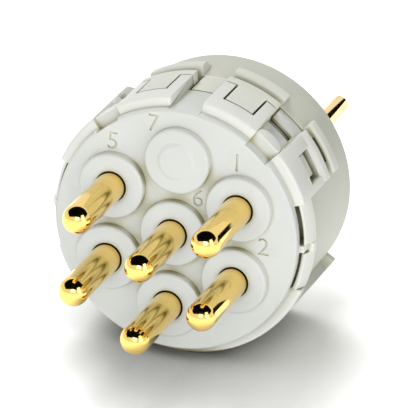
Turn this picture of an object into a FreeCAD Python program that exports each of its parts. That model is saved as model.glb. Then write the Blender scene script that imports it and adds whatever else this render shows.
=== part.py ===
import FreeCAD, Part
import math
import os
import Sketcher

# Contact insert of a round power connector: two moulded insulators that snap
# together and hold six turned contacts in seven positions.
#
# Each piece is drawn about its own axis: z runs along the insert from the rear
# face of the rear insulator (z = 0) to the pin tips, x is to the right and y is
# up, as seen from the pin side. The placement then lays the insert down on its
# underside, with the pins along -Y and position 7 on top.

os.makedirs("parts", exist_ok=True)

# name, value in millimetres or degrees, what it is
DIMENSIONS = [
    # contacts
    ("contact_circle", 5.1, "radius of the circle of the outer contacts"),
    ("pin_radius", 1.0, "mating pin, radius"),
    ("pin_reach", 7.15, "mating pin tip beyond the front of its boss"),
    ("tail_radius", 0.63, "solder tail, radius"),
    ("tail_reach", 9.1, "solder tail end beyond the rear face"),
    ("flange_radius", 1.6, "retaining flange of the contact, radius"),
    ("flange_length", 1.4, "retaining flange, in front of the parting face"),
    ("pin_neck_step", 0.18, "neck of the contact in its front bore, inside the pin's radius"),
    ("tail_root_step", 0.18, "root of the tail in its rear bore, beyond the tail's radius"),
    ("root_reach", 0.05, "neck or root beyond the mouth of its bore"),
    # lengths along the axis, one after the other from the rear face
    ("rear_length", 3.6, "rear cylinder, from the rear face to the lips"),
    ("lip_length", 0.85, "lips behind the latches"),
    ("lip_edge", 0.15, "broken front edge of a lip"),
    ("lip_slot", 0.5, "slot into the front of a loop's lip, depth"),
    ("latch_gap", 0.95, "gap between the lips and the latches"),
    ("plate_length", 1.0, "cross plate of a T-shaped latch"),
    ("tongue_length", 2.75, "tongue of a T-shaped latch"),
    ("rim_margin", 0.25, "latch front to the rear side of the rim"),
    ("rim_length", 1.35, "upper rim"),
    ("rim_setback", 0.73, "front face in front of the upper rim"),
    ("boss_height", 0.72, "bosses in front of the front face"),
    # other lengths along the axis
    ("lower_setback", 0.5, "lower rim behind the upper rim"),
    ("arch_setback", 0.15, "spring arches behind the upper rim"),
    ("arch_bridge", 0.65, "bridge between the spring arches, length"),
    ("tab_reach", 0.12, "tab on the bridge in front of the upper rim"),
    ("parting", 6.0, "rear face to the face where the insulators meet"),
    ("skirt_gap", 0.15, "skirt end to the rear insulator"),
    ("bar_top", 0.65, "cross bar behind a loop window, full height"),
    ("bar_slope", 0.35, "cross bar, slope down to the window"),
    ("valley_front", 0.2, "valley in front of the slope, beside the window"),
    ("window_length", 2.1, "loop window"),
    ("nose_gap", 0.6, "cross bar to the latch nose"),
    ("key_length", 1.9, "key block in front of the latch rear ends"),
    ("side_slot_offset", 0.75, "side slot in front of the latch rear ends"),
    ("side_slot_length", 0.95, "side slot"),
    ("peg_setback", 0.33, "flat front of the peg in a rim notch behind the rim front"),
    ("peg_depth", 0.2, "middle of the peg's round back behind its flat front"),
    ("peg_radius", 1.02, "peg in a rim notch, radius of its round back"),
    ("lip_ramp", 1.0, "slope behind a lip"),
    ("rear_recess", 0.5, "recess in the rear face, depth"),
    ("saddle_slot_offset", 0.6, "slot across the saddle, from the rear face"),
    ("saddle_slot_length", 1.2, "slot across the saddle"),
    # radii and radial steps of the insulators
    ("face_margin", 1.06, "front face and rear cylinder beyond the bosses"),
    ("rim_step", 0.7, "rim, latches, lips and saddle above the front face"),
    ("skirt_drop", 0.04, "skirt and keyway floor below the front face"),
    ("skirt_wall", 0.32, "wall of the skirt"),
    ("neck_wall", 0.5, "wall of the neck"),
    ("nose_drop", 0.4, "top of the latch nose below the rim"),
    ("bar_drop", 0.25, "foot of the cross bar's slope below the rim"),
    ("lip_wall", 0.34, "wall of a lip outside its slot"),
    ("notch_skin", 0.15, "floor of the rim notch above the skirt bore"),
    ("peg_drop", 0.14, "peg in the notch below the rim"),
    ("arch_void", 0.85, "groove under the spring arches below the front face"),
    ("arch_gap_high", 0.19, "gap inside the upper spring arch"),
    ("arch_gap_low", 0.1, "gap inside the lower spring arch"),
    ("arch_drop", 0.34, "front edge of a spring arch below the rim"),
    ("tab_drop", 0.38, "tab between the spring arches below the rim"),
    ("rear_rim", 0.9, "rim around the rear recess, width"),
    ("edge", 0.12, "broken edges of the front face and the rims"),
    ("rear_edge", 0.2, "broken edge of the rear cylinder"),
    # bosses and bores
    ("boss_radius", 2.24, "boss round a contact, radius"),
    ("boss_edge", 0.12, "broken edge of a boss"),
    ("button_radius", 1.2, "button on the closed position, radius"),
    ("button_height", 0.1, "button on the closed position, height"),
    # clearances
    ("play", 0.06, "between pieces that fit into each other"),
    ("seam", 0.16, "along the axis, at the front ends of the latches"),
    ("seam_angle", 0.8, "at the sides of the latches, in degrees"),
    # angles about the axis, in degrees from the right, seen from the pin side
    ("rim_start", 20.5, "lower end of the upper rim"),
    ("loop_width", 23.0, "loop"),
    ("loop_post_low", 3.5, "lower post of a loop"),
    ("loop_post_high", 6.0, "upper post of a loop"),
    ("notch_offset", 1.0, "loop to the rim notch"),
    ("notch_width", 13.0, "rim notch"),
    ("nose_side_gap", 2.4, "latch nose, from the lower side of the window"),
    ("lip_slot_margin", 5.5, "slot in a lip, from either side"),
    ("frame_offset", 0.5, "rim notch to the latch frame"),
    ("tongue_margin", 5.1, "latch tongue, from either side of its frame"),
    ("keyway_half", 7.25, "half of the keyway"),
    ("saddle_start", 32.3, "saddle, below the horizontal"),
    ("saddle_slot_width", 17.0, "slot across the saddle, from its edge"),
    ("bridge_half", 2.0, "half of the bridge between the spring arches"),
    ("tab_slit", 0.8, "slit between the tab and the lower spring arch"),
    ("flat_half", 7.25, "half of the flat along the underside"),
]

# angle of each outer position, from the right, seen from the pin side
OUTER_ANGLES = {"contact_1": 30, "contact_2": -30, "contact_3": -90, "contact_4": 210, "contact_5": 150}
CLOSED_ANGLE = 90
CENTRE_CONTACT = "contact_6"
CONTACTS = list(OUTER_ANGLES) + [CENTRE_CONTACT]
HALF_TURN = 180
FULL_TURN = 360
MERGE = 0.5  # how far fused forms run into each other

doc = FreeCAD.newDocument("contact_insert")
sheet = doc.addObject("Spreadsheet::Sheet", "Dims")


class Size:
    """A length or angle: the text of its expression, and its value now."""

    def __init__(self, text, value):
        self.text = text
        self.value = value

    def __add__(self, other):
        other = as_size(other)
        return Size("(%s + %s)" % (self.text, other.text), self.value + other.value)

    def __radd__(self, other):
        return as_size(other) + self

    def __sub__(self, other):
        other = as_size(other)
        return Size("(%s - %s)" % (self.text, other.text), self.value - other.value)

    def __rsub__(self, other):
        return as_size(other) - self

    def __mul__(self, factor):
        return Size("(%s * %s)" % (self.text, factor), self.value * factor)

    def __neg__(self):
        return self * -1


def as_size(value):
    """Return a plain number as a Size."""
    if isinstance(value, Size):
        return value
    return Size(repr(float(value)), float(value))


def cosine(length, angle):
    """Return the length times the cosine of the angle in degrees."""
    length, angle = as_size(length), as_size(angle)
    text = "(%s * cos(%s))" % (length.text, angle.text)
    return Size(text, length.value * math.cos(math.radians(angle.value)))


def sine(length, angle):
    """Return the length times the sine of the angle in degrees."""
    length, angle = as_size(length), as_size(angle)
    text = "(%s * sin(%s))" % (length.text, angle.text)
    return Size(text, length.value * math.sin(math.radians(angle.value)))


def fill_sheet():
    """Write the driving dimensions into the sheet and return them as sizes."""
    sizes = {}
    for row, (name, value, note) in enumerate(DIMENSIONS, start=1):
        sheet.set("A%d" % row, name)
        sheet.set("B%d" % row, str(value))
        sheet.setAlias("B%d" % row, name)
        sheet.set("C%d" % row, note)
        sizes[name] = Size("Dims." + name, value)
    doc.recompute()
    return sizes


def name_in_sheet(name, size, row):
    """Keep a worked out size in the sheet, under a name of its own."""
    sheet.set("A%d" % row, name)
    sheet.set("B%d" % row, "=" + size.text.replace("Dims.", ""))
    sheet.setAlias("B%d" % row, name)
    return Size("Dims." + name, size.value)


D = fill_sheet()
worked_out = len(DIMENSIONS) + 2


def derive(name, size):
    """Add a worked out size to the sheet, below the driving ones."""
    global worked_out
    worked_out += 1
    return name_in_sheet(name, as_size(size), worked_out)


# stations along the axis
LIP_REAR = D["rear_length"]
LIP_FRONT = derive("lip_front", LIP_REAR + D["lip_length"])
LATCH_REAR = derive("latch_rear", LIP_FRONT + D["latch_gap"])
FRAME_REAR = derive("frame_rear", LATCH_REAR + D["plate_length"])
TONGUE_FRONT = derive("tongue_front", FRAME_REAR + D["tongue_length"])
RIM_REAR = derive("rim_rear", TONGUE_FRONT + D["rim_margin"])
RIM_FRONT = derive("rim_front", RIM_REAR + D["rim_length"])
LOWER_FRONT = derive("lower_front", RIM_FRONT - D["lower_setback"])
ARCH_FRONT = derive("arch_front", RIM_FRONT - D["arch_setback"])
FACE = derive("face", RIM_FRONT + D["rim_setback"])
LENGTH = derive("body_length", FACE + D["boss_height"])
SKIRT_REAR = derive("skirt_rear", LIP_FRONT + D["skirt_gap"])
NECK_FRONT = derive("neck_front", RIM_REAR - D["seam"])
SLOPE_REAR = derive("slope_rear", LATCH_REAR + D["bar_top"])
WINDOW_REAR = derive("window_rear", SLOPE_REAR + D["bar_slope"])
VALLEY_FRONT = derive("valley_front_end", WINDOW_REAR + D["valley_front"])
NOSE_REAR = derive("nose_rear", WINDOW_REAR + D["nose_gap"])
WINDOW_FRONT = derive("window_front", WINDOW_REAR + D["window_length"])
KEY_FRONT = derive("key_front", LATCH_REAR + D["key_length"])
SIDE_SLOT_REAR = derive("side_slot_rear", LATCH_REAR + D["side_slot_offset"])
BRIDGE_FRONT = derive("bridge_front", RIM_REAR + D["arch_bridge"])
PEG_FRONT = derive("peg_front", RIM_FRONT - D["peg_setback"])
MIDDLE = derive("middle", (LENGTH + D["pin_reach"] - D["tail_reach"]) * 0.5)

# radii
FACE_RADIUS = derive("face_radius", D["contact_circle"] + D["boss_radius"] + D["face_margin"])
RIM = derive("rim_radius", FACE_RADIUS + D["rim_step"])
SKIRT = derive("skirt_radius", FACE_RADIUS - D["skirt_drop"])
SKIRT_BORE = derive("skirt_bore", SKIRT - D["skirt_wall"])
NECK = derive("neck_radius", SKIRT_BORE - D["play"])
NECK_BORE = derive("neck_bore", NECK - D["neck_wall"])
PLUG = derive("plug_radius", NECK_BORE - D["play"])
NOTCH_FLOOR = derive("notch_floor", SKIRT_BORE + D["notch_skin"])
OUTSIDE = derive("outside", RIM + 1)
SEAT = derive("seat_radius", D["flange_radius"] + D["play"])
PIN_BORE = derive("pin_bore", D["pin_radius"] + D["play"])
TAIL_ROOT = derive("tail_root", D["tail_radius"] + D["tail_root_step"])
TAIL_BORE = derive("tail_bore", TAIL_ROOT + D["play"])
GROOVE = derive("arch_groove_floor", FACE_RADIUS - D["arch_void"])
REST_HEIGHT = derive("rest_height", cosine(RIM, D["flat_half"]))

# angles
SEAM = D["seam_angle"]
LOOP_START = D["rim_start"]
LOOP_END = derive("loop_end", LOOP_START + D["loop_width"])
WINDOW_START = derive("window_start", LOOP_START + D["loop_post_low"])
WINDOW_END = derive("window_end", LOOP_END - D["loop_post_high"])
NOTCH_START = derive("notch_start", LOOP_END + D["notch_offset"])
NOTCH_END = derive("notch_end", NOTCH_START + D["notch_width"])
NOTCH_MIDDLE = derive("notch_middle", NOTCH_START + D["notch_width"] * 0.5)
FRAME_START = derive("frame_start", NOTCH_END + D["frame_offset"])
FRAME_END = derive("frame_end", CLOSED_ANGLE - D["keyway_half"])
TONGUE_START = derive("tongue_start", FRAME_START + D["tongue_margin"])
TONGUE_END = derive("tongue_end", FRAME_END - D["tongue_margin"])
doc.recompute()


def bind(item, **sizes):
    """Tie properties to the sheet; a double underscore stands for a dot."""
    for key, size in sizes.items():
        item.setExpression(key.replace("__", "."), as_size(size).text)


def plane_of(body, role):
    """Return one of the body's own origin planes."""
    return [f for f in body.Origin.OriginFeatures if f.Role == role][0]


def new_sketch(body, name, role, height=None):
    """Add a sketch to the body, on an origin plane or above it."""
    sketch = body.newObject("Sketcher::SketchObject", name)
    sketch.AttachmentSupport = [(plane_of(body, role), "")]
    sketch.MapMode = "FlatFace"
    if height is not None:
        bind(sketch, AttachmentOffset__Base__z=height)
    return sketch


def dimension(sketch, kind, references, size):
    """Add a driving constraint and tie it to the sheet."""
    index = sketch.addConstraint(Sketcher.Constraint(kind, *references, size.value))
    sketch.setExpression("Constraints[%d]" % index, size.text)


def place_point(sketch, geometry, point, place):
    """Hold a point of a sketch at its place; None lies on an axis."""
    across, along = place
    if across is None:
        sketch.addConstraint(Sketcher.Constraint("PointOnObject", geometry, point, -2))
    else:
        dimension(sketch, "DistanceX", (-1, 1, geometry, point), across)
    if along is None:
        sketch.addConstraint(Sketcher.Constraint("PointOnObject", geometry, point, -1))
    else:
        dimension(sketch, "DistanceY", (-1, 1, geometry, point), along)


def vector_at(place):
    """Return a place in a sketch as a vector; None lies on an axis."""
    across, along = [0.0 if size is None else size.value for size in place]
    return FreeCAD.Vector(across, along, 0)


def half_section(body, name, points):
    """Draw a closed half section of straight lines."""
    sketch = new_sketch(body, name, "XZ_Plane")
    corners = [vector_at(point) for point in points]
    count = len(points)
    for i in range(count):
        sketch.addGeometry(Part.LineSegment(corners[i], corners[(i + 1) % count]), False)
    for i in range(count):
        sketch.addConstraint(Sketcher.Constraint("Coincident", i, 2, (i + 1) % count, 1))
    for i in range(count):
        place_point(sketch, i, 1, points[i])
    return sketch


def revolve(body, sketch, name):
    """Turn a half section about the vertical axis of its sketch."""
    turned = body.newObject("PartDesign::Revolution", name)
    turned.Profile = sketch
    turned.ReferenceAxis = (sketch, ["V_Axis"])
    turned.Angle = FULL_TURN
    doc.recompute()
    return turned


def circles(body, name, places, radius, height):
    """Draw one circle at each place, at a height."""
    sketch = new_sketch(body, name, "XY_Plane", height)
    for index, place in enumerate(places):
        circle = Part.Circle(vector_at(place), FreeCAD.Vector(0, 0, 1), radius.value)
        sketch.addGeometry(circle, False)
        place_point(sketch, index, 3, place)
        dimension(sketch, "Radius", (index,), radius)
    return sketch


def extrude(body, kind, sketch, name, depth, backwards=False):
    """Pad or pocket a sketch by a depth."""
    feature = body.newObject("PartDesign::" + kind, name)
    feature.Profile = sketch
    bind(feature, Length=depth)
    feature.Reversed = backwards
    doc.recompute()
    return feature


def ring_edges(feature, radius, height):
    """Return the names of the round edges of a radius at a height."""
    names = []
    for index, rim in enumerate(feature.Shape.Edges, start=1):
        curve = rim.Curve
        if not isinstance(curve, Part.Circle):
            continue
        if math.isclose(curve.Radius, radius.value) and math.isclose(curve.Center.z, height.value):
            names.append("Edge%d" % index)
    return names


def outer_place(angle):
    """Return the place of an outer contact position across the axis."""
    across = None if angle in (CLOSED_ANGLE, -CLOSED_ANGLE) else cosine(D["contact_circle"], angle)
    return (across, sine(D["contact_circle"], angle))


CENTRE_PLACE = (None, None)
CLOSED_PLACE = outer_place(CLOSED_ANGLE)
CONTACT_PLACES = [outer_place(angle) for angle in OUTER_ANGLES.values()] + [CENTRE_PLACE]


def ring_sector(name, wedge, inner, low, high, start):
    """Place a wedge about the axis and take the inner cylinder out of it."""
    bind(wedge, Height=high - low)
    wedge.Placement.Rotation = FreeCAD.Rotation(FreeCAD.Vector(0, 0, 1), start.value)
    bind(wedge, Placement__Base__z=low, Placement__Rotation__Angle=start)
    core = doc.addObject("Part::Cylinder", name + "_inner")
    bind(core, Radius=inner, Height=(high - low) * 3)
    bind(core, Placement__Base__z=low - (high - low))
    ring = doc.addObject("Part::Cut", name)
    ring.Base = wedge
    ring.Tool = core
    return ring


def sector(name, inner, outer, low, high, start, end):
    """Return a ring sector between two radii, two heights and two angles."""
    inner, outer, low, high, start, end = map(as_size, (inner, outer, low, high, start, end))
    wedge = doc.addObject("Part::Cylinder", name + "_outer")
    bind(wedge, Radius=outer, Angle=end - start)
    return ring_sector(name, wedge, inner, low, high, start)


def ramp(name, inner, low_outer, high_outer, low, high, start, end):
    """Return a ring sector whose outside slopes from one radius to another."""
    inner, low_outer, high_outer = map(as_size, (inner, low_outer, high_outer))
    low, high, start, end = map(as_size, (low, high, start, end))
    wedge = doc.addObject("Part::Cone", name + "_outer")
    bind(wedge, Radius1=low_outer, Radius2=high_outer, Angle=end - start)
    return ring_sector(name, wedge, inner, low, high, start)


def both_sides(make, name, *sizes):
    """Return a form on the right and its mirror image on the left."""
    start, end = map(as_size, sizes[-2:])
    right = make(name + "_right", *sizes)
    left = make(name + "_left", *sizes[:-2], HALF_TURN - end, HALF_TURN - start)
    return [right, left]


def edged_sector(name, inner, outer, low, high, start, end):
    """Return a ring sector with its front outer edge broken."""
    shoulder = high - D["edge"]
    plain = sector(name, inner, outer, low, shoulder, start, end)
    broken = ramp(name + "_edge", inner, outer, outer - D["edge"], shoulder, high, start, end)
    return [plain, broken]


def fuse(name, shapes):
    """Return the union of the shapes."""
    union = doc.addObject("Part::MultiFuse", name)
    union.Shapes = shapes
    union.Refine = True
    doc.recompute()
    return union


def cut(name, base, tools):
    """Return the base less all tools."""
    result = doc.addObject("Part::Cut", name)
    result.Base = base
    result.Tool = fuse(name + "_tools", tools) if len(tools) > 1 else tools[0]
    result.Refine = True
    doc.recompute()
    return result


def lay_down(item, label, along=0, across=0, above=0):
    """Turn the axis to -Y and set the piece down at the height of the flat."""
    item.Label = label
    item.Placement.Rotation = FreeCAD.Rotation(FreeCAD.Vector(1, 0, 0), 90)
    bind(item, Placement__Base__x=across)
    bind(item, Placement__Base__y=MIDDLE + along)
    bind(item, Placement__Base__z=REST_HEIGHT + above)
    return item


def underside(name):
    """Return the block below the flat that runs along the underside."""
    block = doc.addObject("Part::Box", name)
    bind(block, Length=OUTSIDE * 2, Width=OUTSIDE, Height=OUTSIDE * 3)
    bind(block, Placement__Base__x=-OUTSIDE)
    bind(block, Placement__Base__y=-OUTSIDE - REST_HEIGHT)
    bind(block, Placement__Base__z=-OUTSIDE)
    return block


# front insulator


def front_core():
    """Turn the front plate with its plug, and add bosses, button and bores."""
    body = doc.addObject("PartDesign::Body", "front_core")
    section = half_section(body, "front_section", [
        (None, D["parting"]),
        (PLUG, D["parting"]),
        (PLUG, RIM_REAR),
        (FACE_RADIUS, RIM_REAR),
        (FACE_RADIUS, FACE - D["edge"]),
        (FACE_RADIUS - D["edge"], FACE),
        (None, FACE),
    ])
    revolve(body, section, "front_turned")
    places = CONTACT_PLACES + [CLOSED_PLACE]
    outlines = circles(body, "boss_circles", places, D["boss_radius"], FACE)
    bosses = extrude(body, "Pad", outlines, "bosses", D["boss_height"])
    breaking = body.newObject("PartDesign::Chamfer", "boss_edges")
    breaking.Base = (bosses, ring_edges(bosses, D["boss_radius"], LENGTH))
    bind(breaking, Size=D["boss_edge"])
    doc.recompute()
    button = circles(body, "button_circle", [CLOSED_PLACE], D["button_radius"], LENGTH)
    extrude(body, "Pad", button, "button", D["button_height"])
    bores = circles(body, "bore_circles", CONTACT_PLACES, PIN_BORE, LENGTH)
    extrude(body, "Pocket", bores, "bores", LENGTH)
    seats = circles(body, "front_seat_circles", CONTACT_PLACES, SEAT, D["parting"])
    extrude(body, "Pocket", seats, "front_seats", D["flange_length"], backwards=True)
    return body


def front_rims():
    """Return the upper and the lower rim."""
    upper = edged_sector("upper_rim", PLUG, RIM, RIM_REAR, RIM_FRONT,
                         D["rim_start"], HALF_TURN - D["rim_start"])
    lower = edged_sector("lower_rim", PLUG, RIM, RIM_REAR, LOWER_FRONT,
                         HALF_TURN + D["rim_start"], FULL_TURN - D["rim_start"])
    return upper + lower


def front_skirt():
    """Return the skirt, latch frames and loops that reach back over the neck."""
    into_rim = RIM_REAR + MERGE
    shapes = [sector("skirt", SKIRT_BORE, SKIRT, SKIRT_REAR, into_rim,
                     D["rim_start"], HALF_TURN - D["rim_start"])]
    shapes += both_sides(sector, "frame", SKIRT_BORE, RIM, FRAME_REAR, into_rim,
                         FRAME_START, FRAME_END + D["keyway_half"] * 0.5)
    shapes += both_sides(sector, "loop", SKIRT_BORE, RIM, LATCH_REAR, into_rim,
                         LOOP_START, LOOP_END)
    return shapes


def front_cutters():
    """Return what is cut from the front insulator once its sectors are joined."""
    below = SKIRT_REAR - MERGE
    beyond = FACE + MERGE
    bore = SKIRT_BORE - D["play"]
    cutters = both_sides(sector, "tongue_slot", bore, OUTSIDE, below, TONGUE_FRONT,
                         TONGUE_START, TONGUE_END)
    cutters += both_sides(sector, "plate_slot", bore, OUTSIDE, below, FRAME_REAR,
                          FRAME_START - SEAM, FRAME_END + SEAM)
    cutters += both_sides(sector, "window", bore, OUTSIDE, WINDOW_REAR, WINDOW_FRONT,
                          WINDOW_START, WINDOW_END)
    cutters += both_sides(sector, "side_slot", bore, OUTSIDE,
                          SIDE_SLOT_REAR, SIDE_SLOT_REAR + D["side_slot_length"],
                          NOTCH_START, NOTCH_END)
    cutters += both_sides(sector, "rim_notch", NOTCH_FLOOR, OUTSIDE,
                          RIM_REAR, beyond, NOTCH_START, NOTCH_END)
    cutters += both_sides(sector, "rear_notch", SKIRT, OUTSIDE, SIDE_SLOT_REAR, RIM_REAR + MERGE,
                          NOTCH_START, NOTCH_END)
    cutters.append(sector("keyway", SKIRT, OUTSIDE, below, beyond,
                          CLOSED_ANGLE - D["keyway_half"], CLOSED_ANGLE + D["keyway_half"]))
    cutters.append(sector("key_slot", bore, OUTSIDE, below, KEY_FRONT,
                          CLOSED_ANGLE - D["keyway_half"], CLOSED_ANGLE + D["keyway_half"]))
    cutters += both_sides(sector, "arch_groove", GROOVE, OUTSIDE, RIM_REAR - MERGE, RIM_FRONT,
                          -D["rim_start"], D["rim_start"])
    cutters += both_sides(sector, "valley", RIM - D["bar_drop"], OUTSIDE, SLOPE_REAR, VALLEY_FRONT,
                          LOOP_START - SEAM, LOOP_END + SEAM)
    return cutters


def bar_slopes():
    """Return the slope from each loop's cross bar down to its window and valley."""
    return both_sides(ramp, "bar_slope", SKIRT_BORE, RIM, RIM - D["bar_drop"],
                      SLOPE_REAR, WINDOW_REAR, LOOP_START, LOOP_END)


def peg(name, angle):
    """Return a peg that stands on the floor of a rim notch: flat in front, round behind."""
    foot = SKIRT_BORE + D["notch_skin"] * 0.5
    post = doc.addObject("Part::Cylinder", name + "_round")
    bind(post, Radius=D["peg_radius"], Height=RIM - D["peg_drop"] - foot)
    across, above = cosine(foot, angle), sine(foot, angle)
    along = PEG_FRONT - D["peg_depth"]
    place = "create(<<vector>>; %s; %s; %s)" % (across.text, above.text, along.text)
    turn = "create(<<rotation>>; %s; 90; 0)" % as_size(angle).text
    post.setExpression("Placement", "create(<<placement>>; %s; %s)" % (place, turn))
    front = sector(name + "_front", SKIRT_BORE - MERGE, OUTSIDE, PEG_FRONT, FACE,
                   angle - D["notch_width"], angle + D["notch_width"])
    return cut(name, post, [front])


def spring_arches():
    """Return the spring arches at the sides, with the bridge and tab between them."""
    low_end, high_end = -D["rim_start"] + SEAM, D["rim_start"] + SEAM
    half = D["bridge_half"]
    arches = []
    for name, gap, start, end in (("arch_high", D["arch_gap_high"], half, high_end),
                                  ("arch_low", D["arch_gap_low"], low_end, -half)):
        arches += both_sides(ramp, name, FACE_RADIUS + gap, RIM, RIM - D["arch_drop"],
                             RIM_REAR, ARCH_FRONT, start, end)
    foot = GROOVE - D["edge"]
    arches += both_sides(sector, "arch_bridge", foot, RIM, RIM_REAR, BRIDGE_FRONT, -half, half)
    arches += both_sides(sector, "arch_tab", foot, RIM - D["tab_drop"],
                         BRIDGE_FRONT - D["edge"], RIM_FRONT + D["tab_reach"],
                         -half + D["tab_slit"], half)
    return arches


def make_front_insulator():
    """Build the front insulator."""
    joined = fuse("front_joined", [front_core()] + front_rims() + front_skirt())
    opened = cut("front_opened", joined, front_cutters())
    pegs = [peg("peg_right", NOTCH_MIDDLE), peg("peg_left", HALF_TURN - NOTCH_MIDDLE)]
    detailed = fuse("front_detailed", [opened] + bar_slopes() + pegs + spring_arches())
    solid = cut("front_insulator_solid", detailed, [underside("front_underside")])
    return lay_down(solid, "front_insulator")


# rear insulator


def rear_core():
    """Turn the rear insulator: recessed rear face, cylinder and cupped neck."""
    body = doc.addObject("PartDesign::Body", "rear_core")
    inner_rim = FACE_RADIUS - D["rear_rim"]
    section = half_section(body, "rear_section", [
        (None, D["rear_recess"]),
        (inner_rim, D["rear_recess"]),
        (inner_rim, None),
        (FACE_RADIUS - D["rear_edge"], None),
        (FACE_RADIUS, D["rear_edge"]),
        (FACE_RADIUS, LIP_FRONT),
        (NECK, LIP_FRONT),
        (NECK, NECK_FRONT),
        (NECK_BORE, NECK_FRONT),
        (NECK_BORE, D["parting"]),
        (None, D["parting"]),
    ])
    revolve(body, section, "rear_turned")
    bores = circles(body, "tail_bore_circles", CONTACT_PLACES, TAIL_BORE, LENGTH)
    extrude(body, "Pocket", bores, "tail_bores", LENGTH)
    return body


def rear_walls():
    """Return the smooth side walls and the saddle round the underside."""
    hold = NECK_BORE + D["play"]
    walls = both_sides(sector, "side_wall", hold, FACE_RADIUS, LIP_REAR, RIM_REAR,
                       -D["saddle_start"] - MERGE, D["rim_start"] - SEAM)
    walls.append(sector("saddle", hold, RIM, 0, RIM_REAR,
                        HALF_TURN + D["saddle_start"], FULL_TURN - D["saddle_start"]))
    return walls


def lip(name, start, end):
    """Return a lip behind a latch on each side, with the slope behind it."""
    hold = NECK_BORE + D["play"]
    shoulder = LIP_FRONT - D["lip_edge"]
    shapes = both_sides(sector, name, hold, RIM, LIP_REAR, shoulder, start, end)
    shapes += both_sides(ramp, name + "_edge", hold, RIM, RIM - D["lip_edge"],
                         shoulder, LIP_FRONT, start, end)
    shapes += both_sides(ramp, name + "_ramp", hold, FACE_RADIUS, RIM,
                         LIP_REAR - D["lip_ramp"], LIP_REAR, start, end)
    return shapes


def latches():
    """Return the T-shaped latches, the latch noses and the key block."""
    hold = NECK_BORE + D["play"]
    shapes = both_sides(sector, "latch_plate", hold, RIM, LATCH_REAR, FRAME_REAR - D["seam"],
                        FRAME_START, FRAME_END)
    shapes += both_sides(sector, "latch_tongue", hold, RIM, LATCH_REAR, TONGUE_FRONT - D["seam"],
                         TONGUE_START + SEAM, TONGUE_END - SEAM)
    shapes += both_sides(sector, "nose", hold, RIM - D["nose_drop"],
                         NOSE_REAR, WINDOW_FRONT - D["seam"],
                         WINDOW_START + D["nose_side_gap"], WINDOW_END - SEAM)
    shapes.append(sector("key_block", hold, SKIRT, LIP_REAR, KEY_FRONT - D["seam"],
                         CLOSED_ANGLE - D["keyway_half"] + SEAM, CLOSED_ANGLE + D["keyway_half"] - SEAM))
    return shapes


def rear_cutters():
    """Return what is cut from the rear insulator once its sectors are joined."""
    cutters = both_sides(sector, "saddle_slot", FACE_RADIUS, OUTSIDE,
                         D["saddle_slot_offset"], D["saddle_slot_offset"] + D["saddle_slot_length"],
                         -D["saddle_start"] - D["saddle_slot_width"], -D["saddle_start"] + MERGE)
    cutters += both_sides(sector, "lip_slot", SKIRT, RIM - D["lip_wall"],
                          LIP_FRONT - D["lip_slot"], LIP_FRONT + MERGE,
                          LOOP_START + D["lip_slot_margin"], LOOP_END - D["lip_slot_margin"])
    cutters += both_sides(sector, "neck_side_slot", PLUG, NECK + D["play"],
                          SIDE_SLOT_REAR, SIDE_SLOT_REAR + D["side_slot_length"],
                          NOTCH_START, NOTCH_END)
    cutters += both_sides(sector, "neck_window", PLUG, NECK + D["play"], WINDOW_REAR, NOSE_REAR,
                          WINDOW_START, WINDOW_END)
    return cutters


def make_rear_insulator():
    """Build the rear insulator."""
    shapes = [rear_core()] + rear_walls() + latches()
    shapes += lip("loop_lip", LOOP_START, LOOP_END)
    shapes += lip("frame_lip", FRAME_START, FRAME_END)
    joined = fuse("rear_joined", shapes)
    solid = cut("rear_insulator_solid", joined, rear_cutters() + [underside("rear_underside")])
    return lay_down(solid, "rear_insulator")


# contacts


def contact_section(body, name):
    """Draw the half section of a contact, from the tail end to the round tip."""
    tail = D["tail_reach"]
    tail_mouth = tail + D["rear_recess"] - D["root_reach"]
    flange_low = tail + D["parting"]
    flange_high = flange_low + D["flange_length"]
    neck = D["pin_radius"] - D["pin_neck_step"]
    pin_mouth = tail + LENGTH + D["root_reach"]
    ball = tail + LENGTH + D["pin_reach"] - D["pin_radius"]
    points = [
        (None, None),
        (D["tail_radius"], None),
        (D["tail_radius"], tail_mouth),
        (TAIL_ROOT, tail_mouth),
        (TAIL_ROOT, flange_low),
        (D["flange_radius"], flange_low),
        (D["flange_radius"], flange_high),
        (neck, flange_high),
        (neck, pin_mouth),
        (D["pin_radius"], pin_mouth),
        (D["pin_radius"], ball),
    ]
    corners = [vector_at(point) for point in points]
    sketch = new_sketch(body, name, "XZ_Plane")
    for first, second in zip(corners[:-1], corners[1:]):
        sketch.addGeometry(Part.LineSegment(first, second), False)
    arc = len(points) - 1
    axis = arc + 1
    centre = vector_at((None, ball))
    tip = vector_at((None, ball + D["pin_radius"]))
    circle = Part.Circle(centre, FreeCAD.Vector(0, 0, 1), D["pin_radius"].value)
    sketch.addGeometry(Part.ArcOfCircle(circle, 0, math.pi / 2), False)
    sketch.addGeometry(Part.LineSegment(tip, corners[0]), False)
    for i in range(arc - 1):
        sketch.addConstraint(Sketcher.Constraint("Coincident", i, 2, i + 1, 1))
        place_point(sketch, i, 1, points[i])
    place_point(sketch, arc - 1, 1, points[arc - 1])
    sketch.addConstraint(Sketcher.Constraint("Coincident", arc - 1, 2, arc, 1))
    sketch.addConstraint(Sketcher.Constraint("Coincident", arc, 2, axis, 1))
    sketch.addConstraint(Sketcher.Constraint("Coincident", axis, 2, 0, 1))
    place_point(sketch, arc, 3, (None, ball))
    place_point(sketch, arc, 1, (D["pin_radius"], ball))
    sketch.addConstraint(Sketcher.Constraint("PointOnObject", arc, 2, -2))
    return sketch


def make_contact(label, place):
    """Turn one contact: solder tail, retaining flange and pin with a round tip."""
    body = doc.addObject("PartDesign::Body", label)
    revolve(body, contact_section(body, label + "_section"), label + "_turned")
    across, above = [0 if size is None else size for size in place]
    return lay_down(body, label, along=D["tail_reach"], across=across, above=above)


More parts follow.
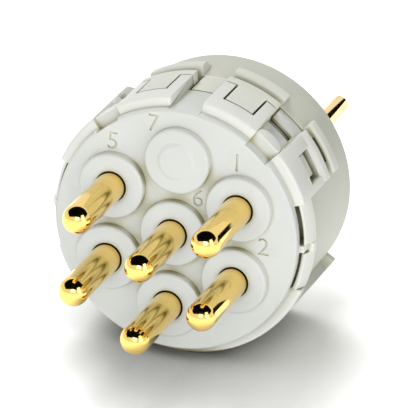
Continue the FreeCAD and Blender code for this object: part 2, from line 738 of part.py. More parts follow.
def check(items):
    """Stop if any object failed or any sub-part has no valid solid."""
    for item in doc.Objects:
        if "Invalid" in item.State or "Error" in item.State:
            raise RuntimeError("%s failed: %s" % (item.Label, item.State))
    for item in items:
        if item.Shape.isNull() or not item.Shape.isValid():
            raise RuntimeError("%s has no valid shape" % item.Label)
        print("%-16s solids %d, volume %.1f mm3" % (
            item.Label, len(item.Shape.Solids), item.Shape.Volume))


def main():
    """Build every sub-part and write its solid."""
    items = [make_front_insulator(), make_rear_insulator()]
    for label, place in zip(CONTACTS, CONTACT_PLACES):
        items.append(make_contact(label, place))
    doc.recompute()
    check(items)
    for item in items:
        item.Shape.exportStep("parts/%s.step" % item.Label)


main()
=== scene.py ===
"""Looks of a round contact insert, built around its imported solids.

The insert lies on its underside with the mating pins towards -Y. The moulded
pieces keep the form of their solids, with engraved position numbers and broken
edges. The contacts are turned again from their own sizes, with a finer skin.
"""

import logging
import math
from dataclasses import dataclass
from enum import Enum

import bmesh
import bpy
from mathutils import Matrix, Vector


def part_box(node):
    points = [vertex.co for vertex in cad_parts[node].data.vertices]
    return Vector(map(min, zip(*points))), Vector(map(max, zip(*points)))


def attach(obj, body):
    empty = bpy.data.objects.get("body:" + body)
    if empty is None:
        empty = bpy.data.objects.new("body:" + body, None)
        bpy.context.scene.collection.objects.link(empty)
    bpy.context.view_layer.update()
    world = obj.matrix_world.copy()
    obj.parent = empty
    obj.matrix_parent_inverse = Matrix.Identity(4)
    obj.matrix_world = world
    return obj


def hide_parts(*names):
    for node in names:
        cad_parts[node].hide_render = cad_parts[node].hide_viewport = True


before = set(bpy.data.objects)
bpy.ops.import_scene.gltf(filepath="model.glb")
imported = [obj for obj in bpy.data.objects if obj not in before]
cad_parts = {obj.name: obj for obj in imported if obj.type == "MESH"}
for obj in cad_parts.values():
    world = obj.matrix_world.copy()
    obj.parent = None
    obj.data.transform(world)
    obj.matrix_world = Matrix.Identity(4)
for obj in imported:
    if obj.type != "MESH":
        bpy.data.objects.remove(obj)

MM = 0.001
ROOT = "root"
IMAGE_SIDE = 408
SENSOR_WIDTH = 36.0

log = logging.getLogger("contact_insert")


# colours and nodes


def linear(colour: str) -> tuple[float, float, float, float]:
    """Turn an sRGB hex colour to linear light.

    Args:
        colour: six hex digits, such as "E4E5E1".

    Returns:
        Red, green, blue and an alpha of one.
    """
    channels = []
    for start in (0, 2, 4):
        value = int(colour[start:start + 2], 16) / 255.0
        channels.append(value / 12.92 if value <= 0.04045 else ((value + 0.055) / 1.055) ** 2.4)
    return (channels[0], channels[1], channels[2], 1.0)


def add_node(tree: bpy.types.NodeTree, kind: str, settings: dict | None = None,
             links: dict | None = None) -> bpy.types.Node:
    """Add a node, set it up and link its inputs.

    Args:
        tree: the node tree of a material or a world.
        kind: the node's type name.
        settings: values by property name, or by input name or number.
        links: output sockets by input name or number.

    Returns:
        The new node.
    """
    node = tree.nodes.new(kind)
    for name, value in (settings or {}).items():
        if isinstance(name, str) and hasattr(node, name):
            setattr(node, name, value)
        else:
            node.inputs[name].default_value = value
    for name, socket in (links or {}).items():
        tree.links.new(socket, node.inputs[name])
    return node


def new_material(name: str) -> bpy.types.Material:
    """Make an empty node material.

    Args:
        name: name of the material.

    Returns:
        The material, without any node.
    """
    material = bpy.data.materials.new(name)
    material.use_nodes = True
    material.node_tree.nodes.clear()
    return material


def backdrop_rays(tree: bpy.types.NodeTree) -> bpy.types.NodeSocket:
    """Add the nodes that tell the rays which see the backdrop from those that carry light.

    Args:
        tree: the node tree of a material or a world.

    Returns:
        A socket that is one for camera, glossy and transmission rays, and zero for others.
    """
    rays = add_node(tree, "ShaderNodeLightPath")
    seen = rays.outputs["Is Camera Ray"]
    for kind in ("Is Glossy Ray", "Is Transmission Ray"):
        either = add_node(tree, "ShaderNodeMath", {"operation": "MAXIMUM"},
                          {0: seen, 1: rays.outputs[kind]})
        seen = either.outputs["Value"]
    return seen


# finishes


@dataclass(frozen=True)
class MouldedPolyamide:
    """Glass-filled polyamide, injection moulded against a finely eroded steel tool.

    It gives a dull, milky light grey. Its hollows and gaps carry a painted olive shade, and its
    thin edges a painted highlight, both drawn from the share of open sky over each place.
    """

    name: str
    colour: str = "DADCD8"
    # painted highlight colour, towards which sharp, thin edges are lightened
    edge_highlight_colour: str = "F2F2E9"
    # painted shade colours, for shallow hollows, recesses and deep gaps
    shallow_shade_colour: str = "BFBCA0"
    recess_shade_colour: str = "86815A"
    gap_shade_colour: str = "12120C"
    # share of open sky over a place of each colour
    open_sky: float = 0.70
    shallow_sky: float = 0.54
    recess_sky: float = 0.32
    gap_sky: float = 0.13
    shade_reach: float = 1.2 * MM
    highlight_reach: float = 0.16 * MM
    # share of solid under a place where the painted edge highlight starts and where it is full
    highlight_start: float = 0.95
    highlight_full: float = 0.45
    highlight_share: float = 0.75
    roughness: float = 0.45
    ior: float = 1.53
    # The real grain is about 0.03 mm across, so it is drawn coarser to show.
    grain: float = 0.12 * MM
    grain_depth: float = 0.004 * MM
    grain_strength: float = 0.3
    # slow drift of the tone, from the flow of the glass fibres
    mottle: float = 3.0 * MM
    mottle_share: float = 0.015
    mottle_low: float = 0.35
    mottle_high: float = 0.65

    def painted_recess_shade(self, tree: bpy.types.NodeTree,
                    sky: bpy.types.NodeSocket) -> bpy.types.NodeSocket:
        """Add the painted shade, a ramp from open faces to deep gaps.

        Args:
            tree: the material's node tree.
            sky: share of open sky over the place.

        Returns:
            The colour.
        """
        ramp = add_node(tree, "ShaderNodeValToRGB", links={"Fac": sky})
        stops = ramp.color_ramp.elements
        stops[0].position, stops[0].color = self.gap_sky, linear(self.gap_shade_colour)
        stops[1].position, stops[1].color = self.open_sky, linear(self.colour)
        stops.new(self.recess_sky).color = linear(self.recess_shade_colour)
        stops.new(self.shallow_sky).color = linear(self.shallow_shade_colour)
        return ramp.outputs["Color"]

    def painted_edge_highlight(self, tree: bpy.types.NodeTree,
                   sky: bpy.types.NodeSocket) -> bpy.types.NodeSocket:
        """Add the share of painted highlight on a sharp, thin edge.

        Args:
            tree: the material's node tree.
            sky: share of open sky over the place.

        Returns:
            The share of the painted highlight colour.
        """
        # painted highlight: edges with little solid under them are lightened towards the highlight
        # colour
        depth = add_node(tree, "ShaderNodeAmbientOcclusion",
                         {"samples": 8, "inside": True, "Distance": self.highlight_reach})
        thin = add_node(tree, "ShaderNodeMapRange",
                        {"From Min": self.highlight_start, "From Max": self.highlight_full,
                         "To Max": self.highlight_share},
                        {"Value": depth.outputs["AO"]})
        share = add_node(tree, "ShaderNodeMath", {"operation": "MULTIPLY"},
                         {0: thin.outputs["Result"], 1: sky})
        return share.outputs["Value"]

    def material(self) -> bpy.types.Material:
        """Build the nodes of the moulded plastic.

        Returns:
            The node material.
        """
        material = new_material(self.name)
        tree = material.node_tree
        place = add_node(tree, "ShaderNodeTexCoord").outputs["Object"]
        # painted shade and painted highlight: the share of open sky darkens hollows and gaps
        # towards olive, and thin edges are lightened
        sky = add_node(tree, "ShaderNodeAmbientOcclusion",
                       {"samples": 12, "Distance": self.shade_reach}).outputs["AO"]
        shaded_and_highlighted = add_node(tree, "ShaderNodeMix", {"data_type": "RGBA", 7: linear(self.edge_highlight_colour)},
                         {0: self.painted_edge_highlight(tree, sky), 6: self.painted_recess_shade(tree, sky)})
        mottle = add_node(tree, "ShaderNodeTexNoise", {"Scale": 1.0 / self.mottle, "Detail": 3.0},
                          {"Vector": place})
        shade = add_node(tree, "ShaderNodeMapRange",
                         {"From Min": self.mottle_low, "From Max": self.mottle_high,
                          "To Min": 1.0 - self.mottle_share, "To Max": 1.0 + self.mottle_share},
                         {"Value": mottle.outputs["Fac"]})
        varied = add_node(tree, "ShaderNodeVectorMath", {"operation": "SCALE"},
                          {"Vector": shaded_and_highlighted.outputs[2], "Scale": shade.outputs["Result"]})
        grain = add_node(tree, "ShaderNodeTexNoise", {"Scale": 1.0 / self.grain, "Detail": 2.0},
                         {"Vector": place})
        bump = add_node(tree, "ShaderNodeBump",
                        {"Strength": self.grain_strength, "Distance": self.grain_depth},
                        {"Height": grain.outputs["Fac"]})
        surface = add_node(tree, "ShaderNodeBsdfPrincipled",
                           {"Roughness": self.roughness, "IOR": self.ior},
                           {"Base Color": varied.outputs["Vector"],
                            "Normal": bump.outputs["Normal"]})
        add_node(tree, "ShaderNodeOutputMaterial", links={"Surface": surface.outputs["BSDF"]})
        return material


@dataclass(frozen=True)
class GoldPlating:
    """Hard gold plated over turned brass.

    It gives a warm mirror, a little broken up across the axis by the fine turning marks that the
    plating follows, with a painted deeper reflection where little sky is open, as in a hole.
    """

    name: str
    colour: str = "F6D47C"
    # painted reflection colour of the gold inside a hole
    deep_reflection_colour: str = "E0A23C"
    reflection_reach: float = 1.6 * MM
    # share of open sky where the painted reflection is deepest and where the gold is clear
    deep_sky: float = 0.3
    clear_sky: float = 0.8
    # the smoothest and the roughest marks, as shares of the roughness
    roughness: float = 0.09
    smooth_mark: float = 0.8
    rough_mark: float = 1.3
    # The real marks are about 0.03 mm apart, so they are drawn coarser to show.
    turning_pitch: float = 0.12 * MM
    turning_depth: float = 0.0012 * MM
    turning_strength: float = 0.5
    turning_stretch: float = 0.05
    turning_low: float = 0.3
    turning_high: float = 0.7

    def material(self) -> bpy.types.Material:
        """Build the nodes of the plated metal.

        Returns:
            The node material.
        """
        material = new_material(self.name)
        tree = material.node_tree
        place = add_node(tree, "ShaderNodeTexCoord").outputs["Object"]
        round_axis = add_node(tree, "ShaderNodeMapping",
                              {"Scale": (self.turning_stretch, 1.0, self.turning_stretch)},
                              {"Vector": place})
        marks = add_node(tree, "ShaderNodeTexNoise",
                         {"Scale": 1.0 / self.turning_pitch, "Detail": 4.0},
                         {"Vector": round_axis.outputs["Vector"]})
        bump = add_node(tree, "ShaderNodeBump",
                        {"Strength": self.turning_strength, "Distance": self.turning_depth},
                        {"Height": marks.outputs["Fac"]})
        wear = add_node(tree, "ShaderNodeMapRange",
                        {"From Min": self.turning_low, "From Max": self.turning_high,
                         "To Min": self.roughness * self.smooth_mark,
                         "To Max": self.roughness * self.rough_mark},
                        {"Value": marks.outputs["Fac"]})
        # painted reflection: the gold turns deeper and darker where little sky is open, as in its
        # hole
        sky = add_node(tree, "ShaderNodeAmbientOcclusion",
                       {"samples": 8, "Distance": self.reflection_reach})
        clear = add_node(tree, "ShaderNodeMapRange",
                         {"From Min": self.deep_sky, "From Max": self.clear_sky},
                         {"Value": sky.outputs["AO"]})
        hole_reflection = add_node(tree, "ShaderNodeMix",
                        {"data_type": "RGBA", 6: linear(self.deep_reflection_colour), 7: linear(self.colour)},
                        {0: clear.outputs["Result"]})
        surface = add_node(tree, "ShaderNodeBsdfPrincipled", {"Metallic": 1.0},
                           {"Base Color": hole_reflection.outputs[2], "Roughness": wear.outputs["Result"],
                            "Normal": bump.outputs["Normal"]})
        add_node(tree, "ShaderNodeOutputMaterial", links={"Surface": surface.outputs["BSDF"]})
        return material


@dataclass(frozen=True)
class WhiteSweep:
    """Matt white paper under the insert, seen as plain white where no shadow falls.

    Close to the insert it is darkened into a painted soft shadow, from the share of open sky, over
    the shadows that the lamps cast.
    """

    name: str
    colour: str = "F6F6F6"
    exposure: float = 1.8
    shadow_reach: float = 11.0 * MM
    shadow_depth: float = 0.20
    # share of open sky where the painted shadow is full and where it ends
    shadow_sky: float = 0.15
    open_sky: float = 0.9

    def material(self) -> bpy.types.Material:
        """Build the nodes of the paper and of the painted shadow on it.

        Returns:
            The node material.
        """
        material = new_material(self.name)
        tree = material.node_tree
        # painted shadow: for the rays that see the paper, its brightness falls with the share of
        # open sky near the insert
        sky = add_node(tree, "ShaderNodeAmbientOcclusion",
                       {"samples": 16, "Distance": self.shadow_reach})
        shadow = add_node(tree, "ShaderNodeMapRange",
                          {"From Min": self.shadow_sky, "From Max": self.open_sky,
                           "To Min": self.exposure * self.shadow_depth, "To Max": self.exposure},
                          {"Value": sky.outputs["AO"]})
        gain = add_node(tree, "ShaderNodeMapRange", {"To Min": 1.0},
                        {"Value": backdrop_rays(tree), "To Max": shadow.outputs["Result"]})
        bright = add_node(tree, "ShaderNodeVectorMath",
                          {"operation": "SCALE", "Vector": linear(self.colour)[:3]},
                          {"Scale": gain.outputs["Result"]})
        paper = add_node(tree, "ShaderNodeBsdfDiffuse", links={"Color": bright.outputs["Vector"]})
        add_node(tree, "ShaderNodeOutputMaterial", links={"Surface": paper.outputs["BSDF"]})
        return material


@dataclass(frozen=True)
class BlackCard:
    """Matt black studio card, which polished metal shows as a dark streak."""

    name: str
    colour: str = "0C0C0A"

    def material(self) -> bpy.types.Material:
        """Build the nodes of the card.

        Returns:
            The node material.
        """
        material = new_material(self.name)
        tree = material.node_tree
        card = add_node(tree, "ShaderNodeBsdfDiffuse", {"Color": linear(self.colour)})
        add_node(tree, "ShaderNodeOutputMaterial", links={"Surface": card.outputs["BSDF"]})
        return material


# pieces of the insert


def link_piece(name: str, bm: bmesh.types.BMesh) -> bpy.types.Object:
    """Make an object at the origin from a finished bmesh, and free the bmesh.

    Args:
        name: name of the object and its mesh.
        bm: the shape, in its place.

    Returns:
        The new object, in the scene.
    """
    mesh = bpy.data.meshes.new(name)
    bm.to_mesh(mesh)
    bm.free()
    piece = bpy.data.objects.new(name, mesh)
    bpy.context.scene.collection.objects.link(piece)
    return piece


class Position(Enum):
    """Positions of the insert, by the number moulded beside each."""

    ONE = "1"
    TWO = "2"
    THREE = "3"
    FOUR = "4"
    FIVE = "5"
    SIX = "6"
    CLOSED = "7"

    @property
    def node(self) -> str:
        """Name of the contact's node."""
        return "contact_" + self.value

    @property
    def holds_contact(self) -> bool:
        """Whether a contact stands in the position."""
        return self is not Position.CLOSED


@dataclass
class Contact:
    """A turned contact: solder tail, retaining flange and pin with a round tip."""

    position: Position
    tail_radius: float = 0.63 * MM
    tail_chamfer: float = 0.15 * MM
    chamfer_bulge: float = 0.3
    root_radius: float = 0.81 * MM
    root_from_tail: float = 9.55 * MM
    flange_from_tail: float = 15.1 * MM
    flange_length: float = 1.4 * MM
    neck_radius: float = 0.82 * MM
    pin_radius: float = 1.0 * MM
    pin_from_tail: float = 21.35 * MM
    edge: float = 0.05 * MM
    steps: int = 96
    tip_steps: int = 20
    weld: float = 0.0001 * MM
    sharp: float = math.radians(35.0)

    def profile(self, low: Vector, high: Vector) -> list[tuple[float, float]]:
        """Return the half section as radius and distance from the tail's end.

        Args:
            low: lowest corner of the contact's solid.
            high: highest corner of the contact's solid.

        Returns:
            Points from the tail's end to the tip of the pin.
        """
        flange_radius = (high.x - low.x) / 2
        length = high.y - low.y
        ball = length - self.pin_radius
        front = self.flange_from_tail + self.flange_length
        edge = self.edge
        bulge = self.chamfer_bulge * self.tail_chamfer
        points = [
            (0.0, 0.0),
            (self.tail_radius - self.tail_chamfer, 0.0),
            (self.tail_radius - bulge, bulge),
            (self.tail_radius, self.tail_chamfer),
            (self.tail_radius, self.root_from_tail),
            (self.root_radius - edge, self.root_from_tail),
            (self.root_radius, self.root_from_tail + edge),
            (self.root_radius, self.flange_from_tail),
            (flange_radius - edge, self.flange_from_tail),
            (flange_radius, self.flange_from_tail + edge),
            (flange_radius, front - edge),
            (flange_radius - edge, front),
            (self.neck_radius, front),
            (self.neck_radius, self.pin_from_tail),
            (self.pin_radius - edge, self.pin_from_tail),
            (self.pin_radius, self.pin_from_tail + edge),
            (self.pin_radius, ball),
        ]
        for step in range(1, self.tip_steps):
            turn = math.pi / 2 * step / self.tip_steps
            points.append((self.pin_radius * math.cos(turn),
                           ball + self.pin_radius * math.sin(turn)))
        return points + [(0.0, length)]

    def build(self, finish: bpy.types.Material) -> bpy.types.Object:
        """Turn the contact and put it in place of its solid.

        Args:
            finish: the plated metal.

        Returns:
            The finished piece.
        """
        low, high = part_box(self.position.node)
        middle = (low + high) / 2
        bm = bmesh.new()
        chain = [bm.verts.new((radius, high.y - along, 0.0))
                 for radius, along in self.profile(low, high)]
        edges = [bm.edges.new(pair) for pair in zip(chain[:-1], chain[1:])]
        bmesh.ops.spin(bm, geom=chain + edges, cent=(0, 0, 0), axis=(0, 1, 0), angle=math.tau,
                       steps=self.steps, use_merge=True, use_duplicate=False)
        bmesh.ops.remove_doubles(bm, verts=bm.verts, dist=self.weld)
        bmesh.ops.recalc_face_normals(bm, faces=bm.faces)
        bmesh.ops.translate(bm, verts=bm.verts, vec=(middle.x, 0.0, middle.z))
        for face in bm.faces:
            face.smooth = True
        for edge in bm.edges:
            edge.smooth = not (edge.is_manifold and edge.calc_face_angle() > self.sharp)
        piece = link_piece("gold_contact_" + self.position.value, bm)
        piece.data.materials.append(finish)
        # In the photograph the gold throws no warm light on the plastic.
        piece.visible_diffuse = False
        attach(piece, ROOT)
        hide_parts(self.position.node)
        return piece


@dataclass
class Insulator:
    """A moulded insulator: a copy of its solid with all its edges broken.

    Its thin outer walls, such as rims and latches, look lighter than its thick body.
    """

    node: str
    edge: float = 0.05 * MM
    edge_steps: int = 2
    weld: float = 0.002 * MM
    flat: float = math.radians(0.6)
    sharp: float = math.radians(28.0)

    def axis(self) -> Vector:
        """Return a point on the insert's axis."""
        low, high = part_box(Position.SIX.node)
        return (low + high) / 2

    def is_thin(self, place: Vector) -> bool:
        """Return whether a place, from the axis and the rear end, is in a thin wall."""
        return False

    def solid(self) -> bmesh.types.BMesh:
        """Copy the node's mesh, merge it and join its flat faces.

        Returns:
            The form before any finishing.
        """
        bm = bmesh.new()
        bm.from_mesh(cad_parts[self.node].data)
        bmesh.ops.remove_doubles(bm, verts=bm.verts, dist=self.weld)
        bmesh.ops.dissolve_limit(bm, angle_limit=self.flat, verts=bm.verts, edges=bm.edges)
        return bm

    def shape(self) -> bpy.types.Object:
        """Round all sharp edges, outer and inner.

        Returns:
            The piece in its finished form.
        """
        bm = self.solid()
        edges = [edge for edge in bm.edges
                 if edge.is_manifold and edge.calc_face_angle() > self.sharp]
        bmesh.ops.bevel(bm, geom=edges, offset=self.edge, offset_type="OFFSET",
                        segments=self.edge_steps, profile=0.5, affect="EDGES", material=-1)
        return link_piece("moulded_" + self.node, bm)

    def mark_faces(self, piece: bpy.types.Object) -> None:
        """Shade the round faces smooth, keep the sharp edges, and mark the thin walls.

        Args:
            piece: the shaped piece.
        """
        bm = bmesh.new()
        bm.from_mesh(piece.data)
        for face in bm.faces:
            face.smooth = False
        for edge in bm.edges:
            bend = edge.calc_face_angle(0.0)
            edge.smooth = bend < self.sharp
            if self.flat < bend < self.sharp:
                for face in edge.link_faces:
                    face.smooth = True
        origin = Vector((self.axis().x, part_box(self.node)[1].y, self.axis().z))
        for face in bm.faces:
            face.material_index = int(self.is_thin(face.calc_center_median() - origin))
        bm.to_mesh(piece.data)
        bm.free()

    def build(self, body: bpy.types.Material, walls: bpy.types.Material) -> bpy.types.Object:
        """Shape the insulator and put it in place of its solid.

        Args:
            body: the moulded plastic, where it is thick.
            walls: the same plastic, where it is thin.

        Returns:
            The finished piece.
        """
        piece = self.shape()
        piece.data.materials.clear()
        piece.data.materials.append(body)
        piece.data.materials.append(walls)
        self.mark_faces(piece)
        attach(piece, ROOT)
        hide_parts(self.node)
        return piece


@dataclass
class RearInsulator(Insulator):
    """The rear insulator, whose thin lips and loops stand in front of its drum."""

    node: str = "rear_insulator"
    drum_length: float = 3.62 * MM
    loop_height: float = 3.15 * MM

    def is_thin(self, place: Vector) -> bool:
        """Return whether a place belongs to the lips, loops and tongues."""
        return place.y < -self.drum_length and place.z > self.loop_height


@dataclass
class FrontInsulator(Insulator):
    """The front insulator, with the position numbers engraved in its face."""

    node: str = "front_insulator"
    wall_start: float = 8.6 * MM
    boss_height: float = 0.72 * MM
    button_height: float = 0.1 * MM
    button_slope: float = 0.10 * MM
    hairline: float = 0.001 * MM
    hairline_sides: int = 6
    mark_height: float = 1.22 * MM
    mark_depth: float = 0.07 * MM
    mark_steps: int = 4
    # in the text's own units, before it is scaled: half its thickness, and a merge
    text_half: float = 0.5
    text_weld: float = 0.00001
    # middle of each number, to the right of the axis and above it
    mark_places: tuple[tuple[Position, float, float], ...] = (
        (Position.ONE, 3.96 * MM, 5.57 * MM),
        (Position.TWO, 6.14 * MM, 0.06 * MM),
        (Position.FIVE, -4.68 * MM, 5.54 * MM),
        (Position.SIX, 1.46 * MM, 2.62 * MM),
        (Position.CLOSED, -1.91 * MM, 7.29 * MM),
    )

    def is_thin(self, place: Vector) -> bool:
        """Return whether a place belongs to the rims, latch frames, loops and arches."""
        return math.hypot(place.x, place.z) > self.wall_start

    def solid(self) -> bmesh.types.BMesh:
        """Copy the node's mesh and give the closed position's button a soft slope.

        Returns:
            The form before any finishing.
        """
        bm = super().solid()
        top = min(vert.co.y for vert in bm.verts)
        rim = [vert for vert in bm.verts if vert.co.y < top + self.button_height / 2]
        foot = {edge.other_vert(vert) for vert in rim for edge in vert.link_edges} - set(rim)
        middle = sum((vert.co for vert in rim), Vector()) / len(rim)
        for verts, shift in ((rim, -self.button_slope), (foot, self.button_slope)):
            for vert in verts:
                away = Vector((vert.co.x - middle.x, 0.0, vert.co.z - middle.z))
                vert.co += away.normalized() * shift
        return bm

    def shape(self) -> bpy.types.Object:
        """Round the sharp edges and cut the position numbers.

        Returns:
            The piece in its finished form.
        """
        piece = super().shape()
        for position, across, above in self.mark_places:
            self.engrave(piece, self.mark_cutter(position.value, across, above))
        self.mend(piece)
        return piece

    def mark_cutter(self, digit: str, across: float, above: float) -> bpy.types.Object:
        """Return a solid digit that stands through the front face.

        Args:
            digit: the number to cut.
            across: its middle, to the right of the insert's axis.
            above: its middle, above the insert's axis.

        Returns:
            A temporary object.
        """
        axis = self.axis()
        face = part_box(self.node)[0].y + self.boss_height + self.button_height
        curve = bpy.data.curves.new("mark", "FONT")
        curve.body = digit
        curve.extrude = self.text_half
        curve.resolution_u = self.mark_steps
        letter = bpy.data.objects.new("mark", curve)
        mesh = bpy.data.meshes.new_from_object(letter)
        bpy.data.objects.remove(letter)
        bm = bmesh.new()
        bm.from_mesh(mesh)
        bmesh.ops.remove_doubles(bm, verts=bm.verts, dist=self.text_weld)
        low = Vector(min(vert.co[i] for vert in bm.verts) for i in range(3))
        high = Vector(max(vert.co[i] for vert in bm.verts) for i in range(3))
        size = self.mark_height / (high.y - low.y)
        bmesh.ops.translate(bm, verts=bm.verts, vec=-(low + high) / 2)
        bmesh.ops.scale(bm, verts=bm.verts, vec=(size, size, 2 * self.mark_depth))
        bmesh.ops.rotate(bm, verts=bm.verts, cent=(0, 0, 0),
                         matrix=Matrix.Rotation(math.pi / 2, 3, "X"))
        bmesh.ops.translate(bm, verts=bm.verts, vec=(axis.x + across, face, axis.z + above))
        bmesh.ops.recalc_face_normals(bm, faces=bm.faces)
        return link_piece("mark_cutter", bm)

    def engrave(self, piece: bpy.types.Object, cutter: bpy.types.Object) -> None:
        """Cut one digit out of the piece and delete the cutter.

        Args:
            piece: the shaped piece.
            cutter: the solid digit.
        """
        cut = piece.modifiers.new("mark", "BOOLEAN")
        cut.operation = "DIFFERENCE"
        cut.solver = "EXACT"
        cut.object = cutter
        graph = bpy.context.evaluated_depsgraph_get()
        mesh = bpy.data.meshes.new_from_object(piece.evaluated_get(graph))
        piece.modifiers.clear()
        piece.data = mesh
        bpy.data.objects.remove(cutter)

    def mend(self, piece: bpy.types.Object) -> None:
        """Close the hairline gaps that the engraving leaves.

        Args:
            piece: the engraved piece.
        """
        bm = bmesh.new()
        bm.from_mesh(piece.data)
        bmesh.ops.remove_doubles(bm, verts=bm.verts, dist=self.hairline)
        bmesh.ops.dissolve_degenerate(bm, dist=self.hairline, edges=bm.edges)
        bmesh.ops.holes_fill(bm, edges=[edge for edge in bm.edges if edge.is_boundary],
                             sides=self.hairline_sides)
        bm.to_mesh(piece.data)
        bm.free()


# studio


def direction(azimuth: float, elevation: float) -> Vector:
    """Return the direction of a place round the insert, as seen from the insert.

    Args:
        azimuth: degrees from the side of the mating pins, towards the right.
        elevation: degrees above the horizontal.

    Returns:
        A unit vector.
    """
    turn, rise = math.radians(azimuth), math.radians(elevation)
    return Vector((math.sin(turn) * math.cos(rise), -math.cos(turn) * math.cos(rise),
                   math.sin(rise)))


def facing(target: Vector, azimuth: float, elevation: float, distance: float) -> Matrix:
    """Return the placement of a flat lamp or card that faces the target.

    Args:
        target: what it faces.
        azimuth: degrees from the side of the mating pins, towards the right.
        elevation: degrees above the horizontal.
        distance: how far it stands from the target.

    Returns:
        A matrix that moves and turns the lamp or card.
    """
    back = direction(azimuth, elevation)
    turned = back.to_track_quat("Z", "Y").to_matrix().to_4x4()
    return Matrix.Translation(target + distance * back) @ turned


@dataclass(frozen=True)
class Viewpoint:
    """Camera at the angle of the photograph."""

    azimuth: float = 18.1
    elevation: float = 22.4
    roll: float = 3.6
    distance: float = 400.0 * MM
    aim_right: float = 2.16 * MM
    aim_up: float = 2.03 * MM
    pixels_per_mm: float = 15.25
    nearest: float = 10.0 * MM
    farthest: float = 20000.0 * MM

    def place(self, target: Vector) -> None:
        """Put the camera in the scene.

        Args:
            target: point on the insert's axis at the front of the bosses.
        """
        back = direction(self.azimuth, self.elevation)
        level = direction(self.azimuth + 90.0, 0.0)
        above = back.cross(level)
        lean = math.radians(self.roll)
        right = math.cos(lean) * level + math.sin(lean) * above
        up = -math.sin(lean) * level + math.cos(lean) * above
        data = bpy.data.cameras.new("camera")
        data.sensor_width = SENSOR_WIDTH
        data.lens = self.pixels_per_mm / MM * self.distance * SENSOR_WIDTH / IMAGE_SIDE
        data.clip_start = self.nearest
        data.clip_end = self.farthest
        camera = bpy.data.objects.new("camera", data)
        bpy.context.scene.collection.objects.link(camera)
        spot = target + self.aim_right * right + self.aim_up * up + self.distance * back
        turned = Matrix((right, up, back)).transposed().to_4x4()
        camera.matrix_world = Matrix.Translation(spot) @ turned
        bpy.context.scene.camera = camera


@dataclass(frozen=True)
class Softbox:
    """A soft rectangular lamp that faces the insert.

    Angles are in degrees, sizes in metres and power in watts.
    """

    name: str
    azimuth: float
    elevation: float
    distance: float
    width: float
    height: float
    power: float
    mirrored: bool = True

    def place(self, target: Vector) -> None:
        """Hang the lamp round the target.

        Args:
            target: what the lamp faces.
        """
        data = bpy.data.lights.new(self.name, "AREA")
        data.shape = "RECTANGLE"
        data.size = self.width
        data.size_y = self.height
        data.energy = self.power
        lamp = bpy.data.objects.new(self.name, data)
        bpy.context.scene.collection.objects.link(lamp)
        lamp.visible_glossy = self.mirrored
        lamp.matrix_world = facing(target, self.azimuth, self.elevation, self.distance)


@dataclass(frozen=True)
class Card:
    """A flat black card that only polished metal sees.

    Angles are in degrees and sizes in metres.
    """

    name: str
    azimuth: float
    elevation: float
    distance: float
    width: float
    height: float

    def place(self, target: Vector, finish: bpy.types.Material) -> None:
        """Stand the card round the target.

        Args:
            target: what the card faces.
            finish: the card's material.
        """
        stand = facing(target, self.azimuth, self.elevation, self.distance)
        bm = bmesh.new()
        bmesh.ops.create_grid(bm, x_segments=1, y_segments=1, size=0.5)
        bmesh.ops.scale(bm, verts=bm.verts, vec=(self.width, self.height, 1.0))
        bmesh.ops.transform(bm, verts=bm.verts, matrix=stand)
        card = link_piece(self.name, bm)
        card.data.materials.append(finish)
        card.visible_camera = False
        card.visible_diffuse = False
        card.visible_shadow = False
        card.visible_transmission = False


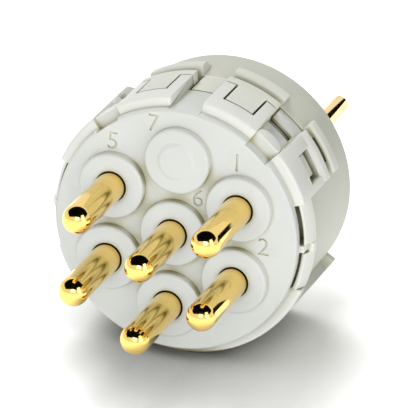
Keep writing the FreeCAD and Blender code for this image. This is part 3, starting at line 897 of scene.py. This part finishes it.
@dataclass
class Studio:
    """Floor, lamps, cards and world of the picture."""

    floor_side: float = 3.0
    ambient: float = 0.24
    ambient_colour: str = "FBFBF4"
    lamps: tuple[Softbox, ...] = (
        Softbox("front_softbox", 2.0, 7.0, 1.0, 0.80, 0.60, 5.0, mirrored=False),
        Softbox("back_softbox", -142.0, 54.0, 0.8, 0.45, 0.40, 4.0, mirrored=False),
        Softbox("window_front", 13.0, 22.0, 0.4, 0.20, 0.18, 0.32),
        Softbox("window_right", 64.0, 18.0, 0.4, 0.17, 0.40, 0.45),
    )
    cards: tuple[Card, ...] = (
        Card("ceiling", 10.0, 81.0, 0.45, 1.9, 0.96),
        Card("card_low_right", 62.0, -8.0, 0.35, 0.16, 0.10),
        Card("card_back", 152.0, 6.0, 0.3, 0.30, 0.10),
    )

    def build(self, target: Vector) -> None:
        """Lay the floor, hang the lamps, stand the cards and set the world.

        Args:
            target: what the lamps and cards face.
        """
        self.lay_floor()
        for lamp in self.lamps:
            lamp.place(target)
        black = BlackCard("black_card").material()
        for card in self.cards:
            card.place(target, black)
        self.set_world()

    def lay_floor(self) -> None:
        """Lay a white sheet at the height the insert lies on."""
        bm = bmesh.new()
        bmesh.ops.create_grid(bm, x_segments=1, y_segments=1, size=self.floor_side / 2)
        floor = link_piece("floor", bm)
        floor.data.materials.append(WhiteSweep("white_sweep").material())

    def set_world(self) -> None:
        """Show white behind the insert, and light it with a lower even level."""
        world = bpy.data.worlds.new("studio")
        bpy.context.scene.world = world
        world.use_nodes = True
        tree = world.node_tree
        tree.nodes.clear()
        room = add_node(tree, "ShaderNodeBackground",
                        {"Color": linear(self.ambient_colour), "Strength": self.ambient})
        white = add_node(tree, "ShaderNodeBackground",
                         {"Color": linear("FFFFFF"), "Strength": 1.0})
        both = add_node(tree, "ShaderNodeMixShader", links={
            0: backdrop_rays(tree), 1: room.outputs["Background"], 2: white.outputs["Background"]})
        add_node(tree, "ShaderNodeOutputWorld", links={"Surface": both.outputs["Shader"]})


# the whole picture


def build_insulators() -> None:
    """Build both moulded insulators, the rear one a shade darker."""
    front = (MouldedPolyamide("front_polyamide"),
             MouldedPolyamide("front_polyamide_thin", colour="E8E9E4", edge_highlight_colour="F6F6EE"))
    rear = (MouldedPolyamide("rear_polyamide", colour="CDCEC2", edge_highlight_colour="ECECE0"),
            MouldedPolyamide("rear_polyamide_thin", colour="DFE0D6", edge_highlight_colour="F4F4EA"))
    for insulator, (body, walls) in ((FrontInsulator(), front), (RearInsulator(), rear)):
        piece = insulator.build(body.material(), walls.material())
        log.info("%s: %d faces", piece.name, len(piece.data.polygons))


def build_contacts() -> None:
    """Build the six contacts."""
    gold = GoldPlating("gold_over_brass").material()
    for position in Position:
        if position.holds_contact:
            piece = Contact(position).build(gold)
            log.info("%s: %d faces", piece.name, len(piece.data.polygons))


def main() -> None:
    """Build the insert and its studio."""
    logging.basicConfig(level=logging.INFO, format="%(message)s")
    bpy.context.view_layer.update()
    centre_low, centre_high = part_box(Position.SIX.node)
    middle = (centre_low + centre_high) / 2
    target = Vector((middle.x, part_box(FrontInsulator.node)[0].y, middle.z))

    build_insulators()
    build_contacts()
    Studio().build(target)
    Viewpoint().place(target)
    log.info("studio and camera placed")
    bpy.context.scene.view_settings.view_transform = "Standard"


if __name__ == "__main__":
    main()
